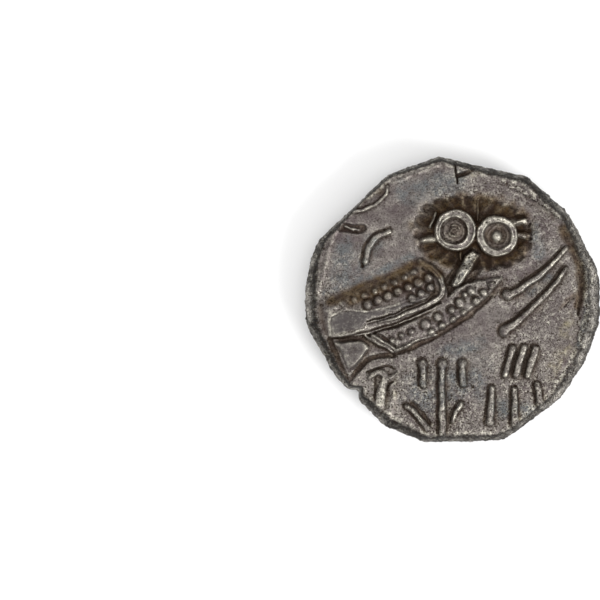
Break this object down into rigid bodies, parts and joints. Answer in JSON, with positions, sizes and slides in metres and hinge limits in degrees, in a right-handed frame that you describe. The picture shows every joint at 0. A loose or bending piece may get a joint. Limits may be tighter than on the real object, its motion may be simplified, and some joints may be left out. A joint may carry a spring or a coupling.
{
  "type": "silver coin",
  "caption": "Small thick hand-struck silver coin: a standing owl in relief on one side, a helmeted head in profile on the other.",
  "frame": {"origin": "centre of the coin's bounding box on the table, where the worn flat of the head side rests", "axes": "+Z up through the coin out of the owl side, +X to the right and +Y up as one looks at the owl"},
  "size_m": [0.017, 0.0164, 0.0035],
  "materials": {
    "toned_silver": "struck silver, dark grey-brown toning with bright worn edges and brown deposit in the recesses"
  },
  "bodies": {
    "root": {"coin": "toned_silver"}
  },
  "joints": []
}
